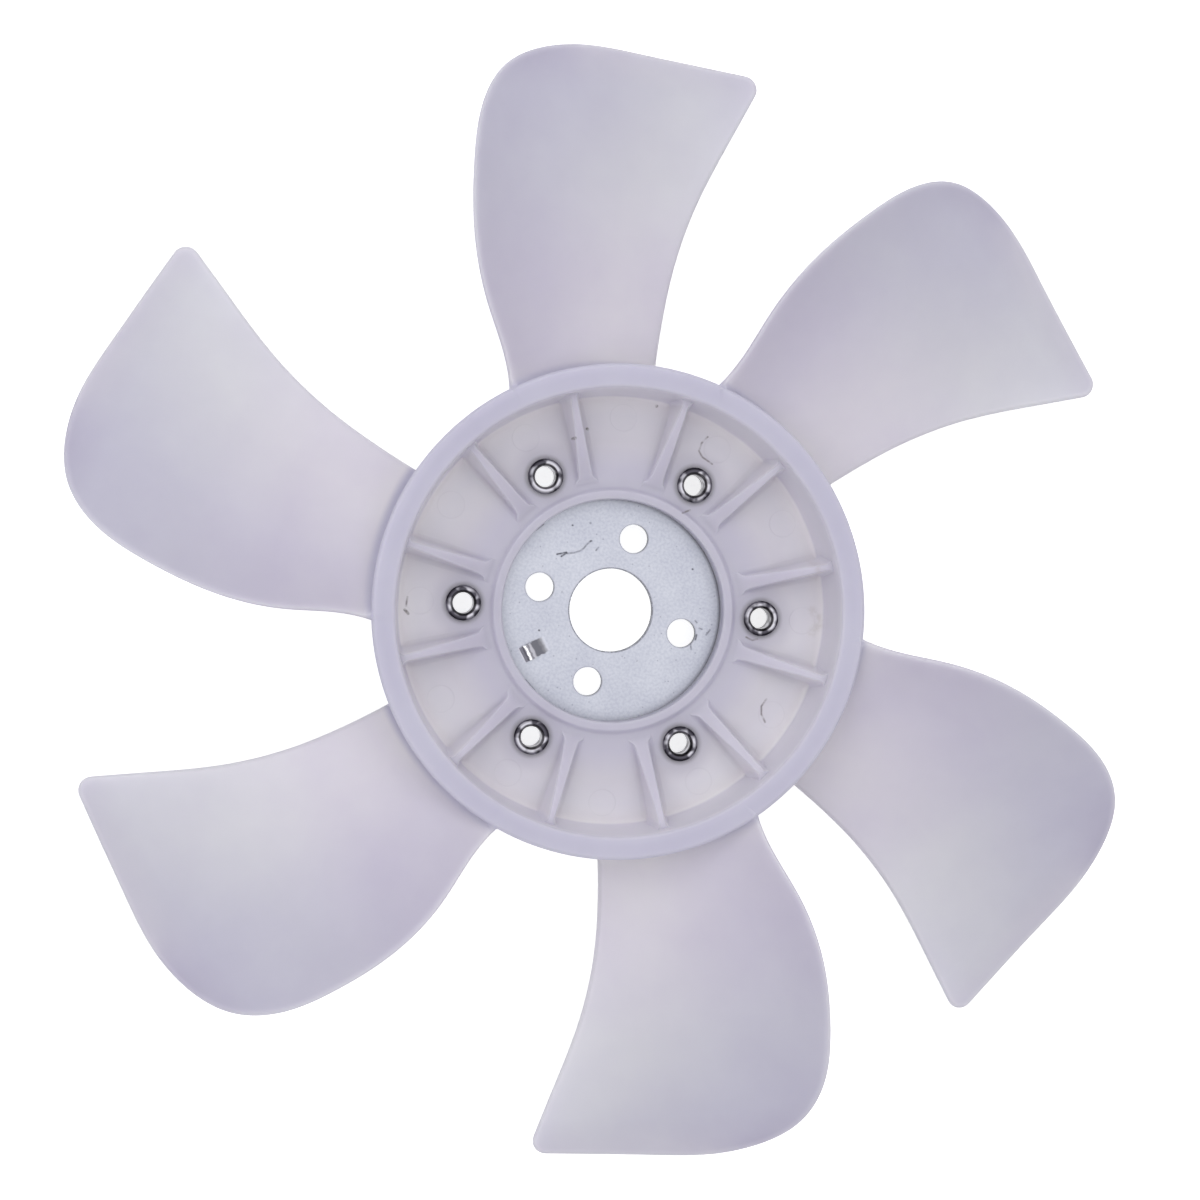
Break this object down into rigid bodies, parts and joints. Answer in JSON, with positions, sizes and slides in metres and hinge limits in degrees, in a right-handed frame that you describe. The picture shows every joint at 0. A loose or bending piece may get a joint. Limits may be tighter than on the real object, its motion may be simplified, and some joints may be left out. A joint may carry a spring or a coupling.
{
  "type": "axial fan impeller",
  "caption": "Axial fan impeller: a natural plastic moulding with swept blades on a ribbed hub drum, riveted to a round steel mounting plate with a pilot bore.",
  "frame": {"origin": "on the pilot bore's axis at the mounting plate's front face", "axes": "+Z along the bore axis towards the open side of the hub, +X through one of the stud holes"},
  "size_m": [0.3353, 0.3304, 0.0494],
  "materials": {
    "natural_plastic": "natural milky moulded plastic, slightly translucent, satin",
    "plated_plate": "zinc plated sheet steel, satin",
    "rivet_steel": "plated steel with rolled crowns"
  },
  "bodies": {
    "root": {"fan_moulding": "natural_plastic", "mounting_plate": "plated_plate", "hub_rivets": "rivet_steel"}
  },
  "joints": []
}
